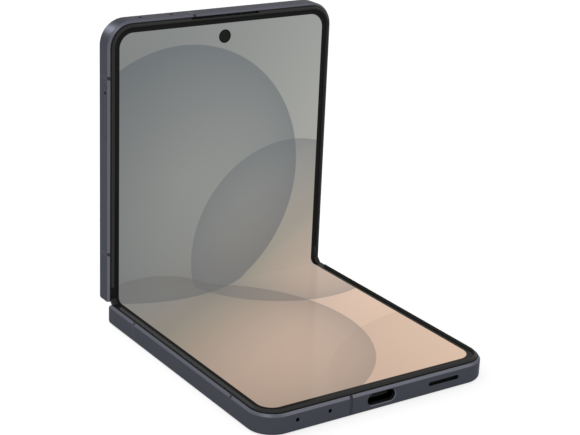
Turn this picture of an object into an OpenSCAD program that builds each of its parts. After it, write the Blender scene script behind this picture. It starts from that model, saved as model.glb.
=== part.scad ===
// A foldable smartphone, standing half open at a right angle.
// The lower half lies on its back glass, the upper half stands at its rear edge.
// Each half is drawn in its own frame: x across, y away from the fold, z from its
// back (0) to its display side (body_t). The hinge has two axes, one for each half,
// and both halves turn about them by the same angle.

/* [Body] */
// Width of each half across the hinge
body_w = 75.2; // [74:0.1:78]
// Length of each half from the fold to its far edge
body_l = 83.35; // [81:0.05:88]
// Thickness of each half, without the crest of its soft rim
body_t = 6.5; // [6.5:0.05:6.9]
// Depth of the metal frame's edge below that
edge_drop = 0.5; // [0.4:0.05:0.6]
// Radius of the outer corners, seen from above
corner_r = 7.4; // [7:0.2:10]
// Width of the side rails
rail_w = 2.0; // [1.8:0.05:2.1]
// Rounding of the rails at the back edge
edge_r = 1.0; // [0.6:0.05:1.1]
// Width of the bevel at the display edge
bevel_w = 0.55; // [0.3:0.05:0.6]
// Height of the bevel at the display edge
bevel_h = 0.75; // [0.4:0.05:0.8]
// Thickness of the plate in the middle of each frame
plate_t = 0.7; // [0.5:0.05:0.8]

/* [Glass and display] */
// Thickness of the back glasses
glass_t = 0.6; // [0.5:0.05:0.65]
// Distance from the side to the edge of the back glass
glass_inset = 1.0; // [1:0.05:1.3]
// Thickness of the stiff part of the display
panel_t = 0.64; // [0.5:0.02:0.64]
// Thickness of the flexible part of the display
fold_panel_t = 0.4; // [0.3:0.02:0.44]
// Depth of the display surface below the half's full thickness
panel_sink = 0.36; // [0.3:0.01:0.4]
// Height of the soft rim's crest above the half's full thickness
rim_rise = 0.3; // [0.1:0.01:0.32]
// Distance from the side to the outside of the soft rim
rim_inset = 0.72; // [0.7:0.01:0.8]
// Width of the soft rim
rim_w = 1.25; // [1:0.05:1.6]
// Distance from the fold to the ends of the soft rim
rim_start = 4.9; // [4.5:0.1:6]

/* [Hinge] */
// Distance of each hinge axis from the middle of the hinge
axis_y = 0.825; // [0.8:0.005:0.85]
// Depth of the hinge axes below the half's full thickness
axis_sink = 0.475; // [0.46:0.005:0.5]
// Radius of the spine cover about each hinge axis
spine_r = 5.07; // [4.9:0.01:5.1]
// Depth of the spine cover's flat outside below the half's full thickness
spine_depth = 3.45; // [3.35:0.05:3.6]
// Wall of the spine cover
spine_wall = 0.5; // [0.4:0.02:0.54]
// Inside radius of the curved hinge rails
arc_in = 1.4; // [1.3:0.01:1.45]
// Outside radius of the curved hinge rails
arc_out = 2.15; // [2:0.01:2.2]
// Width of each curved hinge rail
arm_w = 4; // [3:0.1:5]
// Distance of the hinge modules from the middle of the phone
module_x = 22; // [18:0.5:25]
// Running clearance in the hinge
hinge_clear = 0.05; // [0.03:0.01:0.06]

/* [Ports] */
// Width of the charging port's opening
port_w = 8.94; // [8.6:0.02:9.2]
// Height of the charging port's opening
port_h = 3.16; // [3:0.02:3.2]
// Height of the port's middle above the back
port_z = 3.2; // [3.2:0.02:3.3]
// Length of the loudspeaker slot
speaker_slot_l = 10.4; // [8:0.1:12]
// Height of the loudspeaker slot
speaker_slot_h = 1.2; // [0.9:0.05:1.5]
// Diameter of the microphone holes
mic_d = 1.1; // [0.8:0.05:1.3]
// Length of the earpiece slot
ear_slot_l = 22.7; // [18:0.1:25]
// Width of the earpiece slot
ear_slot_w = 0.65; // [0.4:0.05:0.8]
// Width of the plastic breaks in the frame
break_w = 1.0; // [0.6:0.05:1.4]

/* [Keys and tray] */
// Length of the power key
power_l = 12; // [9:0.5:14]
// Length of the volume key
volume_l = 17; // [13:0.5:18]
// Width of both keys
key_w = 2.3; // [2:0.1:2.6]
// Height of both keys above the rail
key_rise = 0.35; // [0.2:0.05:0.5]
// Travel of both keys
key_travel = 0.25; // [0.15:0.01:0.3]
// Length of the tray's door
door_l = 15.6; // [15:0.1:17]
// Width of the tray's door
door_w = 2.0; // [1.9:0.05:2.2]

/* [Cameras] */
// Outside diameter of the rear camera rings
ring_d = 13.4; // [12.6:0.1:14]
// Height of the rear camera rings above the back glass
ring_rise = 1.3; // [0.9:0.05:1.8]
// Distance between the rear cameras
camera_pitch = 15.4; // [14.6:0.1:16.5]
// Diameter of the front camera's hole in the display
punch_d = 3.7; // [3.5:0.05:4.2]

/* [Hidden] */
$fn = 64;

// Small overlap that makes a cut go right through
e = 0.02;
// Half of the gap between the two frames when the phone lies flat
end_gap = 0.1;
// Angle that the upper half has turned from flat, in the pose shown
fold_angle = 90;

half_w = body_w / 2;
fold_y = (body_l + end_gap) / 2;              // the fold, from the lower half's middle
side_gap = 0.15;              // between the rails and the spine's ends
edge_z = body_t - edge_drop;                  // metal frame's edge
panel_z = body_t - panel_sink - panel_t;      // seat of the stiff display
plate_z = panel_z - plate_t;                  // underside of the middle plate
glass_clear = 0.05;
panel_inset = 1.1;            // edge of the stiff display, under the rim
panel_start = rim_start + 0.3; // stiff display's end near the fold
land_w = 0.65;                // rail's width beside the rim
tail_w = 2.35;                // from the side to the inside of the rim's tails
tail_start = 1.35;
bay_l = 6.1;                  // room for the spine in each half
beam_l = 3.1;                 // beam that carries the hinge arms
beam_drop = 1.4;              // beam's thickness
pocket_drop = 0.8;            // arm's seat below the display's seat
arm_t = 0.5;
wing_lap = body_t - 1.3;      // top of the arms, underside of the wing plates
wing_top = body_t - 0.8;
wing_start = 0.5;
wing_end = panel_start;
bar_l = 2.4;                  // metal bar along the fold at the back
bar_t = 0.8;
heel_r = 1.5;                 // rounding of the rails' ends at the back
nose_r = 0.6;                 // rounding of the rails' ends at the display

spine_half_l = half_w - rail_w - side_gap;
cap_t = 1.15;                 // thickness of the spine's end caps
wing_half_w = spine_half_l - cap_t - 0.3;
spine_lip = 1.05;             // top of the spine's walls below the full thickness
base_top = 1.42;              // top of the hinge bases below the full thickness
arm_slot_top = 1.85;
base_half_l = 7.2;
arm_offset = 3.2;             // from the module's middle to each arm
boss_d = 3;
bore_d = 1.24;
screw_d = 1.2;
screw_head_d = 2.1;
screw_head_t = 0.45;
socket_d = 1.1;
socket_t = 0.28;

board_z = 2.8;
board_t = 0.8;
battery_gap = 0.3;

// Places on the halves, from the middle, from the fold or from the far edge
break_near = 15.0;
break_far = body_l - 15.8;
break_x = -10.0;
mic_pitch = 10.1;
mic_x = [10.7 - half_w, 10.7 - half_w + mic_pitch];
mic_z = body_t / 2 + 0.2;
top_hole_x = [11.3 - half_w, 11.3 - half_w + mic_pitch];
speaker_x = half_w - 16.7;
speaker_l = 20;               // loudspeaker module, across the phone
speaker_box_y = body_l - 21.3;
punch_y = body_l - 7.2;
camera_x = [half_w - 10.4, half_w - 10.4 - camera_pitch];
camera_y = body_l - 11.4;
camera_w = 10;                // each rear camera's square body
flash_x = camera_x[1] - 10.2;
power_y = body_l - 48.3;
volume_y = body_l - 28.8;
key_z = body_t / 2 + 0.1;
tray_y = body_l - 26;
tray_z = 4.1;
tray_t = 0.6;
tray_depth = 17.5;
tray_w = 12.6;
door_t = 1.0;
reader_wall = 0.2;
eject_y = tray_y + door_l / 2 - 2.1;

// Insides: what lies between the rails, from the hinge beam to the far edge
inner_half_w = half_w - rail_w;
battery_y = bay_l + beam_l + 1.8;
battery_side = 2.6;           // between a battery and the rails
pouch_r = 1.6;                // rounding of the batteries' corners
lower_board_l = 22.8;         // boards, from the far edge inwards
upper_board_l = 37.3;
lower_board_y = body_l - lower_board_l;
upper_board_y = body_l - upper_board_l;
lower_battery_l = lower_board_y - 2.5 - battery_y;
upper_battery_l = upper_board_y - 1.5 - battery_y;
battery_z = glass_t + battery_gap;
lower_board_x1 = speaker_x - speaker_l / 2 - 0.4;
motor_size = [10, 8.8, 3.4];
motor_x = 8.6 - half_w;
motor_y = body_l - 15.7;
port_l = 7.4;
port_wall = 0.28;
port_recess = 1.2;            // from the far edge to the port's shell
port_flare = 0.25;            // bevel round the port's opening
camera_z = 1.4;               // back of the cameras' square bodies
barrel_d = 8.4;               // round front of each rear camera
well_d = 7.2;                 // stepped well in it
well_step = 0.22;
ring_lap = 0.6;               // ring's seat on the glass
window_d = ring_d - 2.3;
window_t = 0.65;
window_sink = 0.15;
ear_l = 8;                    // earpiece module
ear_t = 1.1;
coil_d = 42;
coil_w = 9;
shield_z = 1.35;
can_gap = 2;
can_inset = 6;                // shield cans, from the board's inner edge
can_l = 20;

slate = [0.30, 0.31, 0.35];
dark_slate = [0.22, 0.23, 0.26];
soft_black = [0.13, 0.13, 0.13];
glass_black = [0.05, 0.05, 0.06];
screen_grey = [0.62, 0.60, 0.57];
steel = [0.62, 0.63, 0.65];
board_green = [0.10, 0.22, 0.18];
foil_black = [0.12, 0.12, 0.14];
brass = [0.72, 0.58, 0.32];
copper = [0.72, 0.43, 0.26];

// ---- Places -------------------------------------------------------------

// The lower half: its back is at z = 0 and its middle at x = y = 0
module on_lower() {
    translate([0, fold_y, 0]) mirror([0, 1, 0]) children();
}

// The spine: y and z from the middle of the fold at the full thickness, when flat
module on_spine() {
    translate([0, fold_y - axis_y, body_t - axis_sink])
        rotate([fold_angle / 2, 0, 0])
            translate([0, axis_y, axis_sink]) children();
}

// The upper half, turned about its own axis in the spine
module on_upper() {
    on_spine()
        translate([0, axis_y, -axis_sink]) rotate([fold_angle / 2, 0, 0])
            translate([0, -axis_y, axis_sink - body_t]) children();
}

// ---- Shared shapes ------------------------------------------------------

// Outline of a half, moved in from its sides, from y0 near the fold
module outline(inset, y0) {
    x1 = half_w - inset;
    translate([-x1, y0]) square([2 * x1, body_l - corner_r - y0]);
    translate([corner_r - half_w, y0]) square([2 * (half_w - corner_r), body_l - inset - y0]);
    for (side = [-1, 1])
        translate([side * (half_w - corner_r), body_l - corner_r]) circle(corner_r - inset);
}

// A straight length of a rail's section, from y0 to y1 along the right side
module side_run(y0, y1) {
    translate([half_w, y1, 0]) mirror([1, 0, 0]) rotate([90, 0, 0])
        linear_extrude(y1 - y0) children();
}

// A straight length of a rail's section, from x0 to x1 along the far edge
module end_run(x0, x1) {
    translate([x0, body_l, 0]) rotate([0, 0, 90]) mirror([1, 0, 0]) rotate([90, 0, 0])
        linear_extrude(x1 - x0) children();
}

// A rail's section led round the two sides and the far edge of a half
module round_run(y0) {
    for (side = [0, 1]) mirror([side, 0, 0]) {
        side_run(y0, body_l - corner_r) children();
        translate([half_w - corner_r, body_l - corner_r, 0])
            rotate_extrude(angle = 90) translate([corner_r, 0]) mirror([1, 0]) children();
    }
    end_run(corner_r - half_w, half_w - corner_r) children();
}

// Section of the metal rail: x inwards from the side, y from back to display
module rail_section() {
    difference() {
        square([rail_w, edge_z]);
        difference() {
            translate([-e, -e]) square(edge_r + e);
            translate([edge_r, edge_r]) circle(edge_r);
        }
        polygon([[-e, edge_z - bevel_h], [0, edge_z - bevel_h], [bevel_w, edge_z],
                 [bevel_w, edge_z + e], [-e, edge_z + e]]);
        translate([glass_inset, -e]) square([rail_w, glass_t + glass_clear + e]);
        translate([land_w, panel_z]) square([rail_w, body_t]);
    }
}

// Section of the soft rim: a foot beside the display, a groove beside the metal edge,
// and a crest between two slopes
module rim_section() {
    foot = body_t - panel_sink;
    groove = edge_z - 0.1;
    top = body_t + rim_rise;
    outer = rim_inset + 0.25;
    inner = rim_inset + rim_w;
    crest = inner - 0.45;
    foot_end = panel_inset - glass_clear;
    polygon([[rim_inset, panel_z], [rim_inset, groove], [outer, groove], [outer, edge_z + 0.24],
             [crest - 0.2, top - 0.12], [crest - 0.07, top], [crest + 0.08, top],
             [crest + 0.2, top - 0.1], [inner, foot + 0.1], [inner, foot],
             [foot_end, foot], [foot_end, panel_z]]);
}

// A bar with round ends along x, in the plane of its section
module slot_2d(length, height) {
    translate([-(length - height) / 2, -height / 2]) square([length - height, height]);
    for (side = [-1, 1]) translate([side * (length - height) / 2, 0]) circle(height / 2);
}

// A slot through the far edge, from depth to the outside
module end_slot(x, z, length, height, depth) {
    translate([x, body_l + 1, z]) rotate([90, 0, 0]) linear_extrude(depth + 1)
        slot_2d(length, height);
}

// A slot through a side rail, x outwards from the middle of the phone
module side_slot(y, z, length, height, x0, x1) {
    translate([x0, y, z]) rotate([90, 0, 90]) linear_extrude(x1 - x0) slot_2d(length, height);
}

// The corner that a round edge along x leaves over, for cutting
module edge_cut(y, z, r, dir_z) {
    translate([-half_w - 1, y, z]) rotate([90, 0, 90]) linear_extrude(body_w + 2)
        difference() {
            translate([-1, dir_z > 0 ? -1 : -r]) square([r + 1, r + 1]);
            translate([r, dir_z * r]) circle(r);
        }
}

// Frame of one half before its own openings
module bare_frame(half) {
    bay_end = bay_l + beam_l;
    difference() {
        union() {
            round_run(end_gap) rail_section();
            translate([0, 0, plate_z]) linear_extrude(plate_t) outline(rail_w - e, bay_l);
            translate([rail_w - half_w - e, bay_l, panel_z - beam_drop])
                cube([body_w - 2 * rail_w + 2 * e, beam_l, beam_drop]);
            translate([e - half_w + glass_inset, end_gap, 0])
                cube([body_w - 2 * glass_inset - 2 * e, bar_l, bar_t]);
        }
        edge_cut(end_gap, 0, heel_r, 1);
        edge_cut(end_gap, edge_z, nose_r, -1);
        for (x = arm_places(half)) translate([x - arm_w / 2 - hinge_clear, bay_l - e, panel_z - pocket_drop])
            cube([arm_w + 2 * hinge_clear, beam_l - 0.4, pocket_drop + 1]);
        for (x = arm_places(half)) translate([x, bay_end - 1.5, panel_z - beam_drop - 1])
            cylinder(d = bore_d, h = beam_drop + 1);
        breaks_space();
    }
}

// x places of the two hinge arms of a half: 0 is the lower half, 1 the upper
function arm_places(half) =
    [for (side = [-1, 1]) side * (module_x + (half == 0 ? -arm_offset : arm_offset))];

// Places of the plastic breaks, cut out of the rails
module breaks_space() {
    for (y = [break_near, break_far], side = [-1, 1])
        translate([side * half_w - rail_w, y - break_w / 2, -1]) cube([2 * rail_w, break_w, body_t + 2]);
    translate([break_x - break_w / 2, body_l - rail_w, -1]) cube([break_w, 2 * rail_w, body_t + 2]);
}

module antenna_breaks() {
    for (side = [0, 1]) mirror([side, 0, 0])
        for (y = [break_near, break_far])
            side_run(y - break_w / 2, y + break_w / 2) rail_section();
    end_run(break_x - break_w / 2, break_x + break_w / 2) rail_section();
}

// Bosses below the middle plate that carry a board
module bosses(places) {
    for (p = places) translate([p[0], p[1], board_z + board_t])
        difference() {
            cylinder(d = boss_d, h = plate_z - board_z - board_t + e);
            translate([0, 0, -e]) cylinder(d = bore_d, h = 1.1);
        }
}

// A screw with a hexagonal socket: its head's seat is at z = 0, its head below that
module screw(length) {
    difference() {
        translate([0, 0, -screw_head_t]) cylinder(d = screw_head_d, h = screw_head_t);
        translate([0, 0, -screw_head_t - 1]) cylinder(d = socket_d, h = 1 + socket_t, $fn = 6);
    }
    cylinder(d = screw_d, h = length);
}

module board_screws(places) {
    for (p = places) translate([p[0], p[1], board_z]) screw(board_t + 1.0);
}

module arm_screws(half) {
    for (x = arm_places(half)) translate([x, bay_l + beam_l - 1.5, panel_z - beam_drop])
        screw(beam_drop - pocket_drop + arm_t - 0.1);
}

// Soft rim of one half, with a wide flat tail beside the flexible display
module rim() {
    round_run(rim_start) rim_section();
    for (side = [0, 1]) mirror([side, 0, 0])
        side_run(tail_start, panel_start - glass_clear)
            translate([rim_inset, panel_z])
                square([tail_w - rim_inset, body_t - panel_sink - panel_z]);
}

module stiff_panel() {
    translate([0, 0, panel_z]) linear_extrude(panel_t) outline(panel_inset, panel_start);
}

// ---- Hinge --------------------------------------------------------------

// Ring sector about a half's hinge axis, in that half's frame
module arc_ring(r0, r1, width) {
    translate([-width / 2, axis_y, body_t - axis_sink]) rotate([0, 90, 0])
        difference() {
            cylinder(r = r1, h = width);
            translate([0, 0, -1]) cylinder(r = r0, h = width + 2);
        }
}

// One hinge arm: a curved rail that slides in the hinge base, and its foot
module hinge_arm() {
    foot_end = bay_l + beam_l - 0.4 - hinge_clear;
    difference() {
        union() {
            intersection() {
                arc_ring(arc_in, arc_out, arm_w);
                translate([-arm_w / 2, -3, body_t - spine_depth])
                    cube([arm_w, 6, spine_depth - 1.3]);
            }
            translate([-arm_w / 2, axis_y + arc_in + 0.1, wing_lap - arm_t])
                cube([arm_w, foot_end - axis_y - arc_in - 0.1, arm_t]);
        }
        translate([-arm_w, -6, body_t - base_top]) cube([2 * arm_w, 6.6, 3]);
        translate([0, bay_l + beam_l - 1.5, 0]) cylinder(d = bore_d, h = body_t);
    }
}

module hinge_arms(half) {
    for (x = arm_places(half)) translate([x, 0, 0]) hinge_arm();
}

// Thin plate that carries the flexible display beside the fold
module wing_plate(half) {
    translate([-wing_half_w, wing_start, wing_lap])
        cube([2 * wing_half_w, wing_end - wing_start - hinge_clear, wing_top - wing_lap]);
    for (x = arm_places(half)) translate([x - arm_w / 2, wing_end - 1, wing_lap])
        cube([arm_w, bay_l + beam_l - 0.5 - wing_end + 1, panel_z - wing_lap]);
}

// Section of the spine cover's outside: round about both axes, flat at the back
module spine_section(r, depth, top) {
    intersection() {
        union() {
            for (side = [-1, 1]) translate([side * axis_y, -axis_sink]) circle(r);
        }
        translate([-axis_y - r - 1, -depth]) square([2 * (axis_y + r + 1), depth - top]);
    }
}

// Leads a section in the spine's y and z along x
module spine_run(x0, x1) {
    translate([x0, 0, 0]) rotate([90, 0, 90]) linear_extrude(x1 - x0) children();
}

module spine_cover_shape() {
    half = spine_half_l - cap_t;
    difference() {
        spine_run(-half, half) spine_section(spine_r, spine_depth, spine_lip);
        spine_run(-half - 1, half + 1)
            spine_section(spine_r - spine_wall, spine_depth - spine_wall, spine_lip - 1);
        for (half = [0, 1], x = arm_places(half)) mirror([0, half, 0])
            translate([x - arm_w / 2 - 2 * hinge_clear, -8, -arm_slot_top])
                cube([arm_w + 4 * hinge_clear, 5, 3]);
    }
}

// Block in the spine whose curved slots lead the four arms
module hinge_base() {
    inner_r = spine_r - spine_wall - hinge_clear;
    floor_z = spine_depth - spine_wall;
    shoulder_y = 2.15;
    difference() {
        union() {
            spine_run(-base_half_l, base_half_l) spine_section(inner_r, floor_z, arm_slot_top);
            spine_run(-base_half_l, base_half_l)
                translate([-shoulder_y, -floor_z]) square([2 * shoulder_y, floor_z - base_top]);
        }
        for (half = [0, 1]) mirror([0, 1 - half, 0])
            translate([(half == 0 ? -1 : 1) * arm_offset, 0, -body_t])
                arc_ring(arc_in - hinge_clear, arc_out + hinge_clear, arm_w + 2 * hinge_clear);
    }
}

// ---- Lower half ---------------------------------------------------------

lower_boss_places = [[5.6 - inner_half_w, lower_board_y + 3.5], [-12.5, lower_board_y + 4],
                     [lower_board_x1 - 3, lower_board_y + 4]];
upper_boss_places = [[-12, upper_board_y + 3], [16, upper_board_y + 3.5],
                     [5.6 - inner_half_w, body_l - 5.3]];

// Bevel round the port's opening in the far edge, for cutting
module port_bevel(width, height) {
    side_x = (width - height) / 2;
    translate([0, body_l, port_z]) rotate([90, 0, 0]) {
        for (side = [-1, 1]) translate([side * side_x, 0, 0])
            cylinder(d1 = height + 2 * port_flare, d2 = height, h = port_flare);
        translate([-side_x, 0, 0]) rotate([0, 90, 0]) linear_extrude(2 * side_x)
            polygon([[0, -height / 2 - port_flare], [0, height / 2 + port_flare],
                     [-port_flare, height / 2], [-port_flare, -height / 2]]);
    }
}

module lower_frame() {
    color(slate) on_lower() {
        difference() {
            bare_frame(0);
            for (x = mic_x) translate([x, body_l + 1, mic_z]) rotate([90, 0, 0])
                cylinder(d = mic_d, h = rail_w + 2);
            end_slot(0, port_z, port_w + 2 * glass_clear, port_h + 2 * glass_clear, rail_w + 1);
            port_bevel(port_w + 2 * glass_clear, port_h + 2 * glass_clear);
            end_slot(speaker_x, body_t / 2, speaker_slot_l, speaker_slot_h, rail_w + 1);
        }
        bosses(lower_boss_places);
    }
}

module lower_back_glass() {
    color(dark_slate) on_lower()
        linear_extrude(glass_t) outline(glass_inset + glass_clear, end_gap + bar_l + glass_clear);
}

module lower_rim() {
    color(soft_black) on_lower() rim();
}

module lower_display() {
    color(screen_grey) on_lower() stiff_panel();
}

// A battery pouch with round corners and a folded seam at its end near the fold
module battery(x0, x1, length) {
    seam_t = 0.5;
    translate([x0, battery_y, battery_z]) {
        linear_extrude(plate_z - battery_z) rounded_box(x1 - x0, length, pouch_r);
        translate([pouch_r, -0.9, plate_z - battery_z - seam_t]) cube([x1 - x0 - 2 * pouch_r, 1.2, seam_t]);
    }
}

// A rectangle with round corners, from its lower left corner
module rounded_box(width, length, r) {
    translate([r, 0]) square([width - 2 * r, length]);
    translate([0, r]) square([width, length - 2 * r]);
    for (x = [r, width - r], y = [r, length - r]) translate([x, y]) circle(r);
}

module lower_battery() {
    x1 = inner_half_w - battery_side;
    color(foil_black) on_lower() battery(-x1, x1, lower_battery_l);
}

// Flat ring of the charging coil, between the lower battery and the back glass
module charging_coil() {
    color(copper) on_lower()
        translate([0, battery_y + lower_battery_l / 2, glass_t + 0.06])
            difference() {
                cylinder(d = coil_d, h = battery_gap - 0.1);
                translate([0, 0, -1]) cylinder(d = coil_d - 2 * coil_w, h = 3);
            }
}

module sub_board() {
    port_room = 0.3;
    board_side = 1.6;
    color(board_green) on_lower()
        difference() {
            translate([board_side - inner_half_w, lower_board_y, board_z])
                cube([inner_half_w - board_side + lower_board_x1, body_l - 2.7 - lower_board_y, board_t]);
            translate([-port_w / 2 - port_room, body_l - port_l - 1.8, 0])
                cube([port_w + 2 * port_room, 20, body_t]);
            translate([motor_x - 0.2, motor_y - 0.2, 0])
                cube([motor_size[0] + 0.4, motor_size[1] + 0.4, body_t]);
            for (p = lower_boss_places) translate([p[0], p[1], 0]) cylinder(d = bore_d, h = body_t);
            difference() {
                translate([-half_w, body_l - corner_r - 3, 0]) cube([corner_r + 2, 20, body_t]);
                translate([0, 0, -1]) linear_extrude(body_t + 2) outline(rail_w + 0.4, lower_board_y);
            }
        }
}

// Microphone cans on the boards, behind their holes in the far edges
module mic_cans(places, face_z) {
    can = [3.4, 2.6, 1];
    for (x = places) translate([x - can[0] / 2, body_l - rail_w - 0.3 - can[1], face_z]) cube(can);
}

module lower_microphones() {
    color(steel) on_lower() mic_cans([mic_x[1]], board_z + board_t);
}

module charging_port() {
    color(steel) on_lower() difference() {
        end_slot(0, port_z, port_w, port_h, port_l + 0.5);
        end_slot(0, port_z, port_w - 2 * port_wall, port_h - 2 * port_wall, port_l + 0.5 - port_wall);
        translate([-port_w, body_l - port_recess, 0]) cube([2 * port_w, 5, body_t]);
    }
}

// Tongue in the port, with a row of contacts on each face
module port_tongue() {
    tongue = [6.6, 5.6, 0.66];
    contact_w = 0.26;
    contacts = 12;
    y0 = body_l - port_l - 0.5 + port_wall;
    color(foil_black) on_lower() {
        translate([-tongue[0] / 2, y0, port_z - tongue[2] / 2]) cube(tongue);
        for (i = [0 : contacts - 1])
            translate([(i - (contacts - 1) / 2) * 0.5 - contact_w / 2, y0 + 1, port_z - tongue[2] / 2 - 0.04])
                cube([contact_w, tongue[1] - 1.6, tongue[2] + 0.08]);
    }
}

module loudspeaker() {
    color(foil_black) on_lower()
        difference() {
            translate([speaker_x - speaker_l / 2 + 1.3, speaker_box_y, battery_z])
                cube([speaker_l, body_l - rail_w - 0.3 - speaker_box_y, plate_z - battery_z]);
            end_slot(speaker_x, body_t / 2, speaker_slot_l, speaker_slot_h, rail_w + 3);
            difference() {
                translate([half_w - corner_r - 3, body_l - corner_r - 3, 0]) cube([corner_r + 3, 20, body_t]);
                translate([0, 0, -1]) linear_extrude(body_t + 2) outline(rail_w + 0.3, lower_board_y);
            }
        }
}

module speaker_mesh() {
    mesh_t = 0.25;
    color(foil_black) on_lower() difference() {
        end_slot(speaker_x, body_t / 2, speaker_slot_l - 2 * e, speaker_slot_h - 2 * e, 1.2);
        end_slot(speaker_x, body_t / 2, speaker_slot_l, speaker_slot_h * 2, 1.2 - mesh_t);
        for (i = [-11 : 11], row = [-1, 1])
            translate([speaker_x + i * 0.42, body_l, body_t / 2 + row * 0.24]) rotate([90, 0, 0])
                cylinder(d = 0.24, h = 3, $fn = 16);
    }
}

module vibration_motor() {
    color(steel) on_lower()
        translate([motor_x, motor_y, plate_z - motor_size[2]]) cube(motor_size);
}

module lower_antenna_breaks() {
    color(dark_slate) on_lower() antenna_breaks();
}

module lower_hinge_arms() {
    color(steel) on_lower() hinge_arms(0);
}

module lower_wing_plate() {
    color(steel) on_lower() wing_plate(0);
}

module lower_screws() {
    color(steel) on_lower() {
        board_screws(lower_boss_places);
        arm_screws(0);
    }
}

// ---- Spine --------------------------------------------------------------

module spine_cover() {
    color(slate) on_spine() spine_cover_shape();
}

module spine_end_caps() {
    skin = 0.2;
    pin_r = axis_sink - hinge_clear;
    color(soft_black) on_spine() for (side = [0, 1]) mirror([side, 0, 0]) {
        spine_run(spine_half_l - cap_t, spine_half_l) spine_section(spine_r, spine_depth, spine_lip);
        spine_run(spine_half_l - skin, half_w - land_w - 0.1) {
            translate([-axis_y, -axis_sink - pin_r]) square([2 * axis_y, 2 * pin_r]);
            for (s = [-1, 1]) translate([s * axis_y, -axis_sink]) circle(pin_r);
        }
        spine_run(spine_half_l - skin, spine_half_l)
            translate([-axis_y, -spine_lip - e]) square([2 * axis_y, spine_lip - axis_sink]);
    }
}

module hinge_bases() {
    color(steel) on_spine()
        for (side = [0, 1]) mirror([side, 0, 0]) translate([module_x, 0, 0]) hinge_base();
}

module hinge_screws() {
    color(steel) on_spine() for (side = [-1, 1], end = [-1, 1])
        translate([side * module_x + end * (base_half_l - 1), 0, -base_top])
            cylinder(d = 1.4, h = 0.08);
}

// Section of the flexible display: two flats and the bend between them, from the
// middle of the fold at the back, with the bend's length the same as when flat
module fold_section() {
    drop = panel_sink + fold_panel_t / 2;
    t2 = tan(fold_angle / 2);
    corner = axis_y * (cos(fold_angle / 2) - 1) + t2 * (drop - axis_sink + axis_y * sin(fold_angle / 2));
    bend_r = 2 * corner / (2 * t2 - fold_angle * PI / 180);
    tangent = bend_r * t2 - corner;
    flat_l = panel_start - tangent;
    r1 = bend_r + fold_panel_t / 2;
    translate([-tangent, body_t - drop + bend_r]) {
        translate([-flat_l, -r1]) square([flat_l, fold_panel_t]);
        rotate(fold_angle) translate([0, -r1]) square([flat_l, fold_panel_t]);
        intersection() {
            difference() {
                circle(r1);
                circle(r1 - fold_panel_t);
            }
            polygon([[0, 0], [0, -2 * r1], 3 * r1 * [sin(fold_angle / 2), -cos(fold_angle / 2)],
                     2 * r1 * [sin(fold_angle), -cos(fold_angle)]]);
        }
    }
}

module display_fold() {
    fold_half_w = spine_half_l - 0.2 - hinge_clear;
    color(screen_grey) translate([0, fold_y, 0])
        spine_run(-fold_half_w, fold_half_w) fold_section();
}

// ---- Upper half ---------------------------------------------------------

// Slot for the earpiece's sound, between the metal edge and the soft rim
module ear_slot() {
    translate([-ear_slot_l / 2, body_l - land_w - ear_slot_w, body_t - 1.6])
        cube([ear_slot_l, ear_slot_w, 3]);
}

module upper_frame() {
    color(slate) on_upper() {
        difference() {
            bare_frame(1);
            for (x = top_hole_x) translate([x, body_l + 1, body_t / 2]) rotate([90, 0, 0])
                cylinder(d = mic_d, h = rail_w + 2);
            ear_slot();
            translate([0, punch_y, 0]) cylinder(d = 6.4, h = body_t);
            side_slot(power_y, key_z, power_l + 0.16, key_w + 0.16, half_w - rail_w - 1, half_w + 1);
            side_slot(volume_y, key_z, volume_l + 0.16, key_w + 0.16, half_w - rail_w - 1, half_w + 1);
            side_slot(tray_y, tray_z, door_l + 0.1, door_w + 0.1, -half_w - 1, -half_w + door_t + 0.05);
            translate([-half_w, tray_y - tray_w / 2 - 0.1, tray_z - tray_t / 2 - 0.1])
                cube([rail_w + 1, tray_w + 0.2, tray_t + 0.2]);
        }
        bosses(upper_boss_places);
    }
}

module cover_glass() {
    color(glass_black) on_upper() difference() {
        linear_extrude(glass_t) outline(glass_inset + glass_clear, end_gap + bar_l + glass_clear);
        for (x = camera_x) translate([x, camera_y, -1]) cylinder(d = ring_d - 2 * ring_lap, h = 3);
        translate([flash_x, camera_y, -1]) cylinder(d = 3.2, h = 3);
    }
}

module cover_display() {
    color(glass_black) on_upper() difference() {
        translate([0, 0, glass_t]) linear_extrude(battery_gap - 0.05) outline(rail_w + 0.3, bay_l + 0.4);
        for (x = camera_x) translate([x, camera_y, 0]) cylinder(d = ring_d - ring_lap, h = 3);
        translate([flash_x, camera_y, 0]) cylinder(d = 3.6, h = 3);
    }
}

module upper_rim() {
    color(soft_black) on_upper() difference() {
        rim();
        ear_slot();
    }
}

module upper_display() {
    color(screen_grey) on_upper() difference() {
        stiff_panel();
        translate([0, punch_y, 0]) cylinder(d = punch_d, h = 2 * body_t);
    }
}

module main_board() {
    camera_room = 0.2;
    color(board_green) on_upper() difference() {
        translate([0, 0, board_z]) linear_extrude(board_t)
            intersection() {
                outline(rail_w + 1.4, upper_board_y);
                translate([-half_w, 0]) square([half_w + inner_half_w - 2.2, 2 * body_l]);
            }
        for (x = camera_x) translate([x - camera_w / 2 - camera_room, camera_y - camera_w / 2 - camera_room, 0])
            cube([camera_w + 2 * camera_room, camera_w + 2 * camera_room, body_t]);
        translate([0, punch_y, 0]) cylinder(d = 6.8, h = body_t);
        for (p = upper_boss_places) translate([p[0], p[1], 0]) cylinder(d = bore_d, h = body_t);
    }
}

// Shield cans over the chips, on the board's back face
module board_shields() {
    y0 = upper_board_y + can_inset;
    x0 = 4.6 - inner_half_w;
    color(steel) on_upper() {
        translate([x0, y0, shield_z]) cube([-5 - x0, can_l, board_z - shield_z]);
        translate([can_gap - 5, y0, shield_z])
            cube([inner_half_w - 6.6 - can_gap + 5, camera_y - camera_w / 2 - can_gap - y0, board_z - shield_z]);
    }
}

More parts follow.
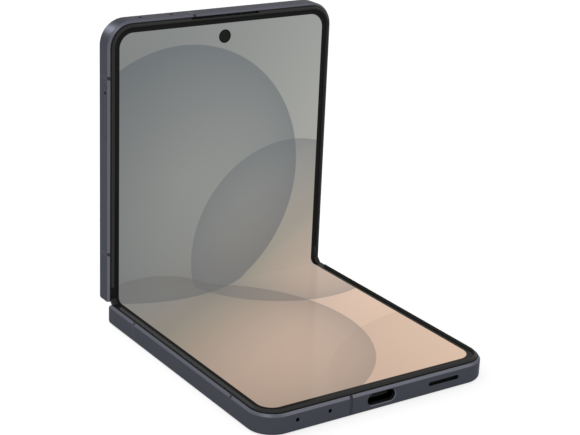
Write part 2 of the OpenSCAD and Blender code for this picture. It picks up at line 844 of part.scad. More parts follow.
module upper_battery() {
    x1 = inner_half_w - battery_side;
    color(foil_black) on_upper() battery(-x1, x1 - 2, upper_battery_l);
}

module upper_microphones() {
    color(steel) on_upper() mic_cans(top_hole_x, board_z + board_t);
}

module camera_modules() {
    color(foil_black) on_upper() for (x = camera_x) {
        translate([x - camera_w / 2, camera_y - camera_w / 2, camera_z]) cube([camera_w, camera_w, plate_z - camera_z]);
        translate([x, camera_y, -0.3]) difference() {
            cylinder(d = barrel_d, h = camera_z + 0.4);
            for (step = [0 : 2]) translate([0, 0, -1])
                cylinder(d = well_d - step * 0.7, h = 1 + well_step * (step + 1));
        }
    }
}

// Round front lens of each rear camera, at the bottom of its barrel's stepped well
module camera_optics() {
    lens_d = well_d - 1.5;
    dome = 0.45;
    dome_r = (lens_d * lens_d / 4 + dome * dome) / (2 * dome);
    color(glass_black) on_upper() for (x = camera_x)
        translate([x, camera_y, 3 * well_step - 0.3]) rotate_extrude() intersection() {
            translate([0, dome_r - dome]) circle(dome_r, $fn = 512);
            translate([0, -dome]) square([lens_d / 2, dome]);
        }
}

// Ring with a bevelled rim, a seat for the lens window and a skirt through the glass
module camera_rings() {
    bevel = 0.35;
    color(slate) on_upper() for (x = camera_x) translate([x, camera_y, 0]) difference() {
        union() {
            translate([0, 0, bevel - ring_rise]) cylinder(d = ring_d, h = ring_rise - bevel);
            translate([0, 0, -ring_rise]) cylinder(d1 = ring_d - 2 * bevel, d2 = ring_d, h = bevel);
            translate([0, 0, -e]) cylinder(d = ring_d - 2 * ring_lap - 0.1, h = camera_z - 0.1 + e);
        }
        translate([0, 0, -ring_rise - 1]) cylinder(d = window_d + 0.1, h = 1 + window_sink + window_t);
        translate([0, 0, -ring_rise]) cylinder(d = barrel_d + 0.2, h = 5);
    }
}

// Flat windows over the cameras, set a little below the rings' rims
module camera_lenses() {
    color(glass_black) on_upper() for (x = camera_x)
        translate([x, camera_y, window_sink - ring_rise]) cylinder(d = window_d, h = window_t);
}

module flash_lens() {
    color("white") on_upper() translate([flash_x, camera_y, 0]) {
        cylinder(d = 3.1, h = 1.2);
        translate([0, 0, 1.2]) cylinder(d = 2.4, h = board_z - 1.2);
    }
}

module front_camera() {
    color(glass_black) on_upper() {
        translate([0, punch_y, board_z]) cylinder(d = 6.2, h = panel_z - board_z - 0.02);
        translate([0, punch_y, panel_z - 0.05]) cylinder(d = punch_d - 0.2, h = panel_t - 0.05);
    }
}

module earpiece() {
    color(foil_black) on_upper()
        translate([ear_slot_l / 2 - ear_l, body_l - rail_w - 3.3, plate_z - ear_t]) cube([ear_l, 3, ear_t]);
}

module sim_reader() {
    depth = tray_depth + 1;
    z0 = board_z + board_t;
    room = tray_t + 0.16;
    color(steel) on_upper() translate([-half_w + rail_w + 0.3, tray_y, 0]) difference() {
        translate([0, -tray_w / 2 - reader_wall - 0.1, z0])
            cube([depth, tray_w + 2 * reader_wall + 0.2, tray_z + room / 2 + reader_wall - z0]);
        translate([-1, -tray_w / 2 - 0.1, tray_z - room / 2])
            cube([depth + 1 - reader_wall, tray_w + 0.2, room]);
    }
}

module upper_antenna_breaks() {
    color(dark_slate) on_upper() difference() {
        antenna_breaks();
        ear_slot();
    }
}

module upper_hinge_arms() {
    color(steel) on_upper() hinge_arms(1);
}

module upper_wing_plate() {
    color(steel) on_upper() wing_plate(1);
}

module upper_screws() {
    color(steel) on_upper() {
        board_screws(upper_boss_places);
        arm_screws(1);
    }
}

// Dome switches on a strip inside the right rail
module key_switches() {
    x1 = half_w - rail_w - 0.55 - key_travel;
    color(brass) on_upper() for (p = [[power_y, power_l], [volume_y, volume_l]])
        translate([x1 - 0.5, p[0] - p[1] / 2, key_z - 1]) cube([0.5, p[1], 2]);
}

// A key: its cap in the rail's slot and a flange that keeps it in
module key(y, length) {
    side_slot(y, key_z, length, key_w, half_w - rail_w - 0.5, half_w + key_rise);
    side_slot(y, key_z, length + 1, key_w - 0.4, half_w - rail_w - 0.5, half_w - rail_w - 0.05);
}

module power_key() {
    color(slate) on_upper() key(power_y, power_l);
}

module volume_key() {
    color(slate) on_upper() key(volume_y, volume_l);
}

module sim_tray() {
    color(slate) on_upper() difference() {
        union() {
            side_slot(tray_y, tray_z, door_l, door_w, -half_w, -half_w + door_t);
            translate([-half_w + door_t - e, tray_y - tray_w / 2, tray_z - tray_t / 2])
                cube([tray_depth, tray_w, tray_t]);
        }
        translate([-half_w + 5, tray_y - 4.4, tray_z - tray_t]) cube([12.3, 8.8, 2 * tray_t]);
        translate([-half_w - 1, eject_y, tray_z]) rotate([0, 90, 0]) cylinder(d = 0.9, h = door_t + 2);
    }
}

module tray_seal() {
    color(soft_black) on_upper() difference() {
        translate([-half_w + 1.15, tray_y - tray_w / 2 - 0.09, tray_z - tray_t / 2 - 0.09])
            cube([0.6, tray_w + 0.18, tray_t + 0.18]);
        translate([-half_w + 1, tray_y - tray_w / 2, tray_z - tray_t / 2]) cube([1, tray_w, tray_t]);
    }
}

lower_frame();
lower_back_glass();
lower_rim();
lower_display();
lower_battery();
charging_coil();
sub_board();
lower_microphones();
charging_port();
port_tongue();
loudspeaker();
speaker_mesh();
vibration_motor();
lower_antenna_breaks();
lower_hinge_arms();
lower_wing_plate();
lower_screws();
spine_cover();
spine_end_caps();
hinge_bases();
hinge_screws();
display_fold();
upper_frame();
cover_glass();
cover_display();
upper_rim();
upper_display();
main_board();
board_shields();
upper_battery();
upper_microphones();
camera_modules();
camera_optics();
camera_rings();
camera_lenses();
flash_lens();
front_camera();
earpiece();
sim_reader();
upper_antenna_breaks();
upper_hinge_arms();
upper_wing_plate();
upper_screws();
key_switches();
power_key();
volume_key();
sim_tray();
tray_seal();
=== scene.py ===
"""Looks of a foldable smartphone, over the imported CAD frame.

Lengths are in metres, in the row frame: X along the hinge, -Y from the fold along the
lower half, Z up. "Along" is the distance from the fold over the unfolded display,
below 0 on the lower half and above 0 on the upper half.
"""
import math

import bmesh
import bpy
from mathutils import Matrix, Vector


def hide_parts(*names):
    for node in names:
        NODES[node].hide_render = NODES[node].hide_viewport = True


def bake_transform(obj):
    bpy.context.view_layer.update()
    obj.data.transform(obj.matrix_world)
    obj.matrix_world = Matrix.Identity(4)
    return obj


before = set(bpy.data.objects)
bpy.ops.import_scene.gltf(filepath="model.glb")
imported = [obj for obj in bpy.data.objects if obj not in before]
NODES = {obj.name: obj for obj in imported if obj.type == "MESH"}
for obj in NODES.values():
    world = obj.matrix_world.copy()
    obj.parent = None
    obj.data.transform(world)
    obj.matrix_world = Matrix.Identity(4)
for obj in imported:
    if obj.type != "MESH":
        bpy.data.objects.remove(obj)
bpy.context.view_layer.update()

MM = 0.001
WHITE, BLACK = (1, 1, 1, 1), (0, 0, 0, 1)

# Places that the CAD model fixes
FOLD_Y = 41.725 * MM              # middle of the fold
UPPER_Z = 6.3667 * MM             # height at which the upper half's length starts
DISPLAY_TOP = 6.14 * MM           # display surface of the lower half
BEND_R = 1.9885 * MM              # middle of the bent display
BEND_START = 1.5617 * MM          # where the bend starts, from the fold
BEND_LENGTH = BEND_R * math.pi / 2
FLAT_END = 5.2 * MM               # where the stiff displays start
FOLD_T = 0.4 * MM                 # display's thickness and half width at the fold
FOLD_HALF_W = 35.2 * MM
RIM_START = 4.88 * MM             # where the rims' crests start, from the fold
LOWER_BEVEL_Z = 5.26 * MM         # where the cut bevels start, on each half
UPPER_BEVEL_Y = 42.83 * MM
BEVEL_EDGE = 0.06 * MM
FAR_EDGE_Y = -41.625 * MM         # lower half's far edge, with the port in it
PORT_Z = 3.2 * MM
PORT_LIP_HALF_W, PORT_LIP_HALF_H = 5.0 * MM, 2.0 * MM
CONTACT_START_Y = -39.1 * MM      # contacts on the port's tongue
CONTACT_HALF_W, CONTACT_PITCH = 3.0 * MM, 0.5 * MM
COIL_PITCH = 0.5 * MM
COVER_HALF_W, COVER_HALF_L = 34.2 * MM, 38.5 * MM     # cover display, behind its glass
COVER_MIDDLE_Z = UPPER_Z + 43.6 * MM
REAR_ROW_Z = UPPER_Z + 71.95 * MM                     # both rear cameras and the flash
REAR_CAMERAS_X = (27.2 * MM, 11.8 * MM)
FLASH_X = 1.6 * MM

# Display strips at the fold: mesh, round edges, and the length that their UV spans
STRIP_ROWS, STRIP_COLUMNS = 48, 24
STRIP_R = 0.12 * MM
UV_SPAN = 200 * MM

# Picture area of the unfolded display
PICTURE_TOP = 80.0 * MM
PICTURE_BOTTOM = -79.44 * MM
PICTURE_HALF_W = 34.16 * MM
PICTURE_R = 4.3 * MM
PICTURE_EDGE = 0.03 * MM          # half the width over which the picture ends
PUNCH_ALONG = 76.15 * MM          # middle of the front camera, and the black ring round it
PUNCH_RING_R = 2.0 * MM


def colour(code):
    """A colour written as RRGGBB, as linear RGBA."""
    parts = [int(code[i:i + 2], 16) / 255 for i in (0, 2, 4)]
    return [p / 12.92 if p <= 0.04045 else ((p + 0.055) / 1.055) ** 2.4 for p in parts] + [1.0]


# ---- Shader building ----------------------------------------------------------

class Nodes:
    """Short calls that add nodes to a tree; numbers and sockets are both taken as inputs."""

    def __init__(self, tree):
        self.tree = tree

    def add(self, kind, inputs=(), **settings):
        made = self.tree.nodes.new("ShaderNode" + kind)
        for name, value in settings.items():
            setattr(made, name, value)
        for name, value in dict(inputs).items():
            self.put(made.inputs[name], value)
        return made

    def put(self, socket, value):
        if isinstance(value, bpy.types.NodeSocket):
            self.tree.links.new(value, socket)
        else:
            socket.default_value = value

    def math(self, operation, a, b=0.0, c=0.0, clamp=False):
        made = self.add("Math", {0: a, 1: b, 2: c}, operation=operation, use_clamp=clamp)
        return made.outputs[0]

    def vector(self, operation, a, b=(0, 0, 0)):
        return self.add("VectorMath", {0: a, 1: b}, operation=operation)

    def mix(self, share, a, b, blend="MIX"):
        made = self.add("Mix", {0: share, 6: a, 7: b}, data_type="RGBA", blend_type=blend)
        return made.outputs[2]

    def step(self, value, start, end):
        """0 before start, 1 after end, smooth between them."""
        made = self.add("MapRange", {0: value, 1: start, 2: end}, interpolation_type="SMOOTHSTEP")
        return made.outputs[0]

    def noise(self, place, scale, detail=3.0, roughness=0.5):
        made = self.add("TexNoise", {"Vector": place, "Scale": scale, "Detail": detail,
                                     "Roughness": roughness})
        return made.outputs["Fac"]

    def spread(self, value, low, high):
        """A 0 to 1 value led over the range from low to high."""
        return self.math("MULTIPLY_ADD", value, high - low, low)


class Material(Nodes):
    """A Principled material whose nodes read the place in the row frame at rest."""

    def __init__(self, name, **numbers):
        self.material = bpy.data.materials.new(name)
        self.material.use_nodes = True
        super().__init__(self.material.node_tree)
        self.tree.nodes.clear()
        self.bsdf = self.add("BsdfPrincipled")
        self.add("OutputMaterial", {"Surface": self.bsdf.outputs[0]})
        self.place = self.add("TexCoord").outputs["Object"]
        for key, value in numbers.items():
            self.set(key.replace("_", " "), value)

    def set(self, name, value):
        self.put(self.bsdf.inputs[name], value)

    def bump(self, height, distance, strength=1.0):
        made = self.add("Bump", {"Height": height, "Distance": distance, "Strength": strength})
        self.set("Normal", made.outputs[0])

    def axes(self):
        return self.add("SeparateXYZ", {0: self.place}).outputs

    def wave(self, value, pitch, kind="SINE"):
        """-1 to 1, once over each pitch of the value."""
        return self.math(kind, self.math("MULTIPLY", value, 2 * math.pi / pitch))

    def off_axis(self, across, height):
        """Distance from an axis along Y."""
        x, _, z = self.axes()
        point = self.add("CombineXYZ", {0: x, 1: z}).outputs[0]
        return self.vector("DISTANCE", point, (across, height, 0)).outputs["Value"]


def grained(name, base, other, grain, depth, rough, **numbers):
    """A surface with a fine grain: its colour, gloss and height vary at the grain's scale."""
    m = Material(name, **numbers)
    fine = m.noise(m.place, grain, 4.0)
    wide = m.noise(m.place, grain / 40, 2.0)
    m.set("Base Color", m.mix(m.math("MULTIPLY", m.math("ADD", fine, wide), 0.5), base, other))
    m.set("Roughness", m.spread(fine, *rough))
    m.bump(fine, depth)
    return m


# ---- Picture on the display ---------------------------------------------------

# Ground of the picture, from the lower half's far end to the upper half's
GROUND = [(0.05, "CCB19C"), (0.3, "C8AF9D"), (0.46, "A3998C"), (0.52, "9C968D"), (0.61, "9A9A95"),
          (0.9, "8C8F8D")]
GROUND_LENGTH = 200 * MM
GROUND_SLANT = 0.65               # shift along for each unit across
GROUND_PALER = 4.6                # gain in brightness for each metre across

# Soft discs on it: across, along, radius, edge and fade in mm, strength, colour
DISCS = [
    (-14, 34, 41, 0.35, 26, 0.58, "5C636A"),
    (24, 8, 34, 0.35, 18, 0.50, "666A6E"),
    (-27, -40, 46, 0.35, 18, 0.50, "6E6C69"),
    (42, -106, 62, 0.35, 24, 0.18, "A98E7C"),
]


def picture_group():
    """Node group: place on the unfolded display to colour of the picture and its black border."""
    tree = bpy.data.node_groups.new("picture", "ShaderNodeTree")
    tree.interface.new_socket("Across", in_out="INPUT", socket_type="NodeSocketFloat")
    tree.interface.new_socket("Along", in_out="INPUT", socket_type="NodeSocketFloat")
    tree.interface.new_socket("Color", in_out="OUTPUT", socket_type="NodeSocketColor")
    tree.interface.new_socket("Lit", in_out="OUTPUT", socket_type="NodeSocketFloat")
    n = Nodes(tree)
    given = tree.nodes.new("NodeGroupInput").outputs
    across, along = given["Across"], given["Along"]
    made = ground_colour(n, across, along)
    point = n.add("CombineXYZ", {0: across, 1: along}).outputs[0]
    for x, y, radius, edge, fade, strength, tint in DISCS:
        away = n.vector("DISTANCE", point, (x * MM, y * MM, 0)).outputs["Value"]
        depth = n.math("SUBTRACT", radius * MM, away)
        shade = n.math("EXPONENT", n.math("DIVIDE", depth, -fade * MM))
        share = n.math("MULTIPLY", n.step(depth, 0.0, edge * MM), shade)
        made = n.mix(n.math("MULTIPLY", share, strength, clamp=True), made, colour(tint))
    lit = picture_mask(n, across, along)
    out = tree.nodes.new("NodeGroupOutput")
    n.put(out.inputs["Color"], made)
    n.put(out.inputs["Lit"], lit)
    return tree


def ground_colour(n, across, along):
    """The ground's colour, on a slant over the display and paler to the right."""
    slant = n.math("MULTIPLY_ADD", across, -GROUND_SLANT, along)
    share = n.math("MULTIPLY_ADD", slant, 1 / GROUND_LENGTH, 0.5, clamp=True)
    ramp = n.add("ValToRGB", {0: share})
    ramp.color_ramp.interpolation = "CARDINAL"
    marks = ramp.color_ramp.elements
    while len(marks) < len(GROUND):
        marks.new(0.5)
    for mark, (place, code) in zip(marks, GROUND):
        mark.position, mark.color = place, colour(code)
    paler = n.math("MULTIPLY_ADD", across, GROUND_PALER, 1.0)
    return n.mix(1.0, ramp.outputs[0], paler, "MULTIPLY")


def picture_mask(n, across, along):
    """1 inside the picture's rounded outline, 0 in the black border and the camera's ring."""
    middle = (PICTURE_TOP + PICTURE_BOTTOM) / 2
    half_l = (PICTURE_TOP - PICTURE_BOTTOM) / 2
    x = n.math("SUBTRACT", n.math("ABSOLUTE", across), PICTURE_HALF_W - PICTURE_R)
    y = n.math("SUBTRACT", n.math("ABSOLUTE", n.math("SUBTRACT", along, middle)), half_l - PICTURE_R)
    corner = n.add("CombineXYZ", {0: n.math("MAXIMUM", x, 0.0), 1: n.math("MAXIMUM", y, 0.0)})
    away = n.vector("LENGTH", corner.outputs[0]).outputs["Value"]
    outside = n.step(away, PICTURE_R - PICTURE_EDGE, PICTURE_R + PICTURE_EDGE)
    point = n.add("CombineXYZ", {0: across, 1: along}).outputs[0]
    away = n.vector("DISTANCE", point, (0, PUNCH_ALONG, 0)).outputs["Value"]
    past_ring = n.step(away, PUNCH_RING_R - PICTURE_EDGE, PUNCH_RING_R + PICTURE_EDGE)
    return n.math("MULTIPLY", n.math("SUBTRACT", 1.0, outside), past_ring)


PICTURE = picture_group()


def screen_material(name, across, along):
    """Gloss display film over the lit picture. across and along take the material's nodes."""
    m = Material(name, Roughness=0.14, IOR=1.4, Specular_IOR_Level=0.05)
    group = m.add("Group")
    group.node_tree = PICTURE
    m.put(group.inputs["Across"], across(m))
    m.put(group.inputs["Along"], along(m))
    lit = group.outputs["Lit"]
    m.set("Base Color", m.mix(lit, colour("1B1B1B"), colour("0A0A0A")))
    m.set("Emission Color", m.mix(lit, BLACK, group.outputs["Color"]))
    m.set("Emission Strength", 1.0)
    ripple = m.noise(m.place, 90.0, 2.0)
    m.bump(ripple, 0.00002, 0.3)
    return m.material


def make_screens():
    """Display materials: straight from the place on the two stiff halves, from UV on the fold."""
    lower = screen_material("screen_lower", lambda m: m.axes()[0],
                            lambda m: m.math("SUBTRACT", m.axes()[1], FOLD_Y))
    upper = screen_material("screen_upper", lambda m: m.axes()[0],
                            lambda m: m.math("SUBTRACT", m.axes()[2], UPPER_Z))
    paint("lower_display", lower)
    paint("upper_display", upper)

    folding = screen_material("screen_fold", lambda m: from_uv(m, 0), lambda m: from_uv(m, 1))
    near = display_strip("fold_near", -FLAT_END, 0.0, folding)
    far = display_strip("fold_far", 0.0, FLAT_END, folding)
    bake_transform(near)
    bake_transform(far)
    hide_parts("display_fold")
    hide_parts("display_fold")


def to_uv(across, along):
    return across / UV_SPAN + 0.5, along / UV_SPAN + 0.5


def from_uv(m, index):
    """Across (0) or along (1), read back from the strips' UV."""
    parts = m.add("SeparateXYZ", {0: m.add("UVMap").outputs[0]})
    return m.math("MULTIPLY", m.math("SUBTRACT", parts.outputs[index], 0.5), UV_SPAN)


def fold_point(along, rise):
    """Y and Z of a point of the bent display, rise above the middle of its thickness."""
    turn = max(0.0, min(1.0, along / BEND_LENGTH + 0.5)) * math.pi / 2
    bend_y, bend_z = FOLD_Y - BEND_START, DISPLAY_TOP - FOLD_T / 2 + BEND_R
    r = BEND_R - rise
    y, z = bend_y + r * math.sin(turn), bend_z - r * math.cos(turn)
    past = abs(along) - BEND_LENGTH / 2
    if past > 0:
        y, z = (y - past, z) if along < 0 else (y, z + past)
    return y, z


def display_strip(name, start, end, material):
    """A strip of the flexible display, with round long edges and its unfolded place as UV."""
    mesh = bmesh.new()
    uv = mesh.loops.layers.uv.new("UVMap")
    section = strip_section()
    places = [start + (end - start) * i / STRIP_ROWS for i in range(STRIP_ROWS + 1)]
    grid = [[mesh.verts.new((across, *fold_point(along, rise))) for across, rise in section]
            for along in places]
    for i in range(STRIP_ROWS):
        for j in range(len(section)):
            k = (j + 1) % len(section)
            corners = ((i, j), (i, k), (i + 1, k), (i + 1, j))
            face = mesh.faces.new([grid[row][column] for row, column in corners])
            face.smooth = True
            for loop, (row, column) in zip(face.loops, corners):
                loop[uv].uv = to_uv(section[column][0], places[row])
    bmesh.ops.recalc_face_normals(mesh, faces=mesh.faces)
    data = bpy.data.meshes.new(name)
    mesh.to_mesh(data)
    mesh.free()
    data.materials.append(material)
    strip = bpy.data.objects.new(name, data)
    bpy.context.scene.collection.objects.link(strip)
    return strip


def strip_section():
    """Closed section of the display strip: (across, rise) round a flat bar."""
    half_t, flat_w = FOLD_T / 2, FOLD_HALF_W - STRIP_R
    top = [(-flat_w + flat_w * 2 * i / STRIP_COLUMNS, half_t) for i in range(STRIP_COLUMNS + 1)]
    arc = [(flat_w + STRIP_R * math.sin(a), half_t - STRIP_R + STRIP_R * math.cos(a))
           for a in (math.pi / 8, math.pi / 4, 3 * math.pi / 8, math.pi / 2)]
    right = arc + [(x, -rise) for x, rise in reversed(arc)]
    bottom = [(x, -half_t) for x, _ in reversed(top)]
    left = [(-x, rise) for x, rise in reversed(right)]
    return top + right + bottom + left


# ---- Finishes -----------------------------------------------------------------

def paint(nodes, material):
    """Gives CAD nodes their material, on every slot of their meshes."""
    for node in nodes.split():
        slots = NODES[node].material_slots
        if not slots:
            NODES[node].data.materials.append(material)
        for slot in slots:
            slot.material = material


def anodised(name, cuts_and_highlights=()):
    """Satin anodised aluminium with a fine blasted grain, lighter on its cut bevels: partly the bare
    cut's own smoother, brighter finish, partly a painted highlight.

    Each entry of cuts_and_highlights is a function that takes the material and gives 1 on its bevel,
    0 elsewhere.
    """
    m = Material(name, Metallic=0.9, Specular_Tint=(0.55, 0.55, 0.57, 1))
    grain = m.noise(m.place, 14000.0, 2.0)
    cloud = m.noise(m.place, 120.0, 2.0)
    base = m.mix(grain, colour("3E4047"), colour("474952"))
    base = m.mix(m.math("MULTIPLY", cloud, 0.25), base, colour("3B3C45"))
    rough = m.spread(m.noise(m.place, 2500.0, 3.0), 0.36, 0.44)
    # Bevels: a lighter base colour, partly the cut metal's own colour and partly a painted highlight,
    # and a lower roughness.
    for cut_and_highlight in [find(m) for find in cuts_and_highlights]:
        base = m.mix(cut_and_highlight, base, colour("5D5E67"))
        rough = m.math("MULTIPLY", rough, m.spread(cut_and_highlight, 1.0, 0.7))
    m.set("Base Color", base)
    m.set("Roughness", rough)
    m.bump(grain, 0.0000008, 0.6)
    return m.material


def lower_bevel(m):
    return m.step(m.axes()[2], LOWER_BEVEL_Z, LOWER_BEVEL_Z + BEVEL_EDGE)


def upper_bevel(m):
    return m.step(m.axes()[1], UPPER_BEVEL_Y, UPPER_BEVEL_Y - BEVEL_EDGE)


def port_lip(m):
    """The bevel round the port's opening, just behind the lower half's far edge, where a painted
    highlight goes.
    """
    x, y, z = m.axes()
    near_x = m.math("LESS_THAN", m.math("ABSOLUTE", x), PORT_LIP_HALF_W)
    near_z = m.math("LESS_THAN", m.math("ABSOLUTE", m.math("SUBTRACT", z, PORT_Z)),
                    PORT_LIP_HALF_H)
    behind = m.step(y, FAR_EDGE_Y + 0.02 * MM, FAR_EDGE_Y + 0.05 * MM)
    return m.math("MULTIPLY", m.math("MULTIPLY", near_x, near_z), behind)


def paint_metal():
    paint("lower_frame", anodised("anodised_lower", (lower_bevel, port_lip)))
    paint("upper_frame", anodised("anodised_upper", (upper_bevel,)))
    paint("spine_cover power_key volume_key sim_tray", anodised("anodised"))
    breaks = grained("antenna_plastic", colour("2C2D35"), colour("33343D"), 7000.0, 0.000002,
                     (0.42, 0.5), Specular_IOR_Level=0.15)
    paint("lower_antenna_breaks upper_antenna_breaks", breaks.material)


def paint_rings():
    """Turned and anodised rings: fine circles about each camera."""
    m = Material("turned_ring", Metallic=0.9)
    groove = m.wave(nearest_camera(m), 0.09 * MM)
    grain = m.noise(m.place, 12000.0, 2.0)
    m.set("Base Color", m.mix(grain, colour("42434E"), colour("4E4F5B")))
    m.set("Roughness", m.spread(grain, 0.26, 0.34))
    m.bump(groove, 0.000003, 0.5)
    paint("camera_rings", m.material)


def nearest_camera(m):
    """Distance from the axis of the nearer rear camera."""
    return m.math("MINIMUM", *[m.off_axis(x, REAR_ROW_Z) for x in REAR_CAMERAS_X])


def paint_soft():
    """Soft rims with painted shade in the corner of the fold, and the spine's moulded end caps."""
    rim = Material("soft_rim", Specular_IOR_Level=0.24)
    grain = rim.noise(rim.place, 6000.0, 4.0)
    _, y, z = rim.axes()
    # Painted shade: within RIM_START of the fold the rims are painted near black.
    behind = rim.math("GREATER_THAN", y, FOLD_Y - RIM_START)
    below = rim.math("LESS_THAN", z, UPPER_Z + RIM_START)
    fold_corner_shade = rim.math("MULTIPLY", behind, below)
    body = rim.mix(grain, colour("191A19"), colour("212220"))
    rim.set("Base Color", rim.mix(fold_corner_shade, body, colour("060606")))
    rim.set("Roughness", rim.spread(grain, 0.5, 0.62))
    rim.bump(grain, 0.000002)
    paint("lower_rim upper_rim tray_seal", rim.material)
    cap = grained("spine_cap", colour("0B0B0B"), colour("111111"), 6000.0, 0.000004, (0.4, 0.5),
                  Specular_IOR_Level=0.25)
    paint("spine_end_caps", cap.material)


def paint_back_glass():
    """Acid-etched glass: a silky grain with tiny bright flecks over slate colour."""
    m = Material("frosted_glass", Coat_Weight=0.25, Coat_Roughness=0.32, Specular_IOR_Level=0.5)
    cloud = m.noise(m.place, 35.0, 3.0)
    base = m.mix(cloud, colour("373841"), colour("40414C"))
    cells = m.add("TexVoronoi", {"Vector": m.place, "Scale": 9000.0})
    fleck = m.math("SUBTRACT", 1.0, m.step(cells.outputs["Distance"], 0.05, 0.2))
    m.set("Base Color", m.mix(m.math("MULTIPLY", fleck, 0.35), base, colour("777987")))
    m.set("Roughness", m.spread(m.noise(m.place, 1800.0, 3.0), 0.4, 0.5))
    m.set("Metallic", 0.35)
    m.bump(m.noise(m.place, 9000.0, 2.0), 0.0000012, 0.6)
    paint("lower_back_glass", m.material)


def paint_cover_glass():
    """Polished glass over a black print, with the dark display's area a shade bluer."""
    m = Material("cover_glass", Coat_Weight=0.6, Coat_Roughness=0.03)
    x, _, z = m.axes()
    edge_x = m.math("SUBTRACT", COVER_HALF_W, m.math("ABSOLUTE", x))
    from_middle = m.math("ABSOLUTE", m.math("SUBTRACT", z, COVER_MIDDLE_Z))
    edge_z = m.math("SUBTRACT", COVER_HALF_L, from_middle)
    area = m.step(m.math("MINIMUM", edge_x, edge_z), 0.0, 0.15 * MM)
    m.set("Base Color", m.mix(area, colour("060607"), colour("0A0B10")))
    smear = m.noise(m.place, 45.0, 4.0, 0.6)
    m.set("Roughness", m.spread(m.step(smear, 0.45, 0.75), 0.035, 0.09))
    m.bump(smear, 0.00001, 0.05)
    paint("cover_glass", m.material)
    panel = grained("cover_panel", colour("07080C"), colour("0B0C11"), 3000.0, 0.000001, (0.1, 0.16))
    paint("cover_display", panel.material)


def paint_cameras():
    """Smoked windows, coated lenses, ribbed black barrels, the front camera and the flash."""
    window = Material("lens_window", Transmission_Weight=0.8, IOR=1.3, Roughness=0.0)
    haze = window.noise(window.place, 300.0, 3.0)
    window.set("Base Color", window.mix(haze, colour("3C3E44"), colour("4A4C54")))
    paint("camera_lenses", window.material)

    lens = Material("lens_coating", Coat_Weight=0.2, Coat_Roughness=0.02, IOR=1.4)
    tilt = lens.add("LayerWeight", {"Blend": 0.45}).outputs["Facing"]
    tint = lens.mix(lens.step(tilt, 0.05, 0.55), colour("0A0E22"), colour("2A1030"))
    dust = lens.noise(lens.place, 900.0, 2.0)
    lens.set("Base Color", lens.mix(lens.step(dust, 0.62, 0.7), tint, colour("17203A")))
    lens.set("Roughness", lens.spread(dust, 0.02, 0.06))
    lens.set("Specular Tint", lens.mix(tilt, colour("7FA0FF"), colour("C890FF")))
    paint("camera_optics", lens.material)

    ribs = Material("barrel_black", Specular_IOR_Level=0.35)
    grain = ribs.noise(ribs.place, 5000.0, 3.0)
    ribs.set("Base Color", ribs.mix(grain, colour("060607"), colour("0D0D0F")))
    ribs.set("Roughness", ribs.spread(grain, 0.45, 0.6))
    ribs.bump(ribs.wave(nearest_camera(ribs), 0.16 * MM), 0.00001, 0.6)
    paint("camera_modules", ribs.material)
    front = grained("front_lens", colour("0A0A0A"), colour("151614"), 1500.0, 0.000001, (0.3, 0.42),
                    Specular_IOR_Level=0.1)
    paint("front_camera", front.material)

    flash = Material("flash_diffuser", Specular_IOR_Level=0.5, Subsurface_Weight=0.15)
    away = flash.off_axis(FLASH_X, REAR_ROW_Z)
    rings = flash.wave(away, 0.22 * MM)
    core = flash.step(away, 0.35 * MM, 0.95 * MM)
    flash.set("Base Color", flash.mix(core, colour("E8D98A"), colour("E3E0D2")))
    flash.set("Roughness", flash.spread(rings, 0.16, 0.24))
    flash.bump(rings, 0.00002, 0.8)
    paint("flash_lens", flash.material)


def brushed(name, base, other, along, rough):
    """Metal brushed along one axis: its fine noise is stretched along that axis."""
    m = Material(name, Metallic=1.0)
    scale = [9000.0, 9000.0, 9000.0]
    scale[along] = 250.0
    lines = m.noise(m.vector("MULTIPLY", m.place, scale).outputs[0], 1.0, 3.0)
    m.set("Base Color", m.mix(lines, base, other))
    m.set("Roughness", m.spread(lines, *rough))
    m.bump(lines, 0.000002, 0.6)
    return m.material


def paint_steel():
    plain = brushed("brushed_steel", colour("8E9094"), colour("A2A4A8"), 0, (0.24, 0.36))
    paint("board_shields sim_reader vibration_motor lower_microphones upper_microphones", plain)
    ground = brushed("ground_steel", colour("7E8085"), colour("96989C"), 1, (0.2, 0.3))
    paint("lower_hinge_arms upper_hinge_arms hinge_bases lower_wing_plate upper_wing_plate", ground)
    plated = grained("plated_screw", colour("6E7074"), colour("84868A"), 5000.0, 0.000003,
                     (0.22, 0.34), Metallic=1.0)
    paint("lower_screws upper_screws hinge_screws", plated.material)
    mesh = grained("black_mesh", colour("0B0B0C"), colour("151517"), 6000.0, 0.000003, (0.4, 0.55),
                   Metallic=0.6)
    paint("speaker_mesh", mesh.material)


def paint_port():
    """Steel shell with painted shade that deepens inwards, and a black tongue with gilt contacts."""
    shell = Material("port_shell", Metallic=1.0)
    grain = shell.noise(shell.place, 6000.0, 3.0)
    # Painted shade: the shell turns darker from 1.2 mm to 4.1 mm into the port.
    inward_shade = shell.step(shell.axes()[1], FAR_EDGE_Y + 1.225 * MM, FAR_EDGE_Y + 4.125 * MM)
    shell.set("Base Color", shell.mix(inward_shade, shell.mix(grain, colour("1C1D1F"), colour("252628")),
                                      colour("0B0B0D")))
    shell.set("Roughness", shell.spread(grain, 0.26, 0.36))
    shell.bump(grain, 0.000002)
    paint("charging_port", shell.material)

    tongue = Material("port_tongue", Specular_IOR_Level=0.15)
    x, y, _ = tongue.axes()
    grain = tongue.noise(tongue.place, 5000.0, 3.0)
    row = tongue.wave(x, CONTACT_PITCH, "COSINE")
    stripe = tongue.step(tongue.math("MULTIPLY", row, -1.0), 0.0, 0.15)
    inside = tongue.math("LESS_THAN", tongue.math("ABSOLUTE", x), CONTACT_HALF_W)
    gilt = tongue.math("MULTIPLY", stripe, inside)
    gilt = tongue.math("MULTIPLY", gilt, tongue.math("GREATER_THAN", y, CONTACT_START_Y))
    tongue.set("Base Color", tongue.mix(gilt, tongue.mix(grain, colour("050506"), colour("0A0A0B")),
                                        colour("8A6E3C")))
    tongue.set("Metallic", gilt)
    tongue.set("Roughness", tongue.spread(grain, 0.32, 0.46))
    tongue.bump(grain, 0.000003)
    paint("port_tongue", tongue.material)


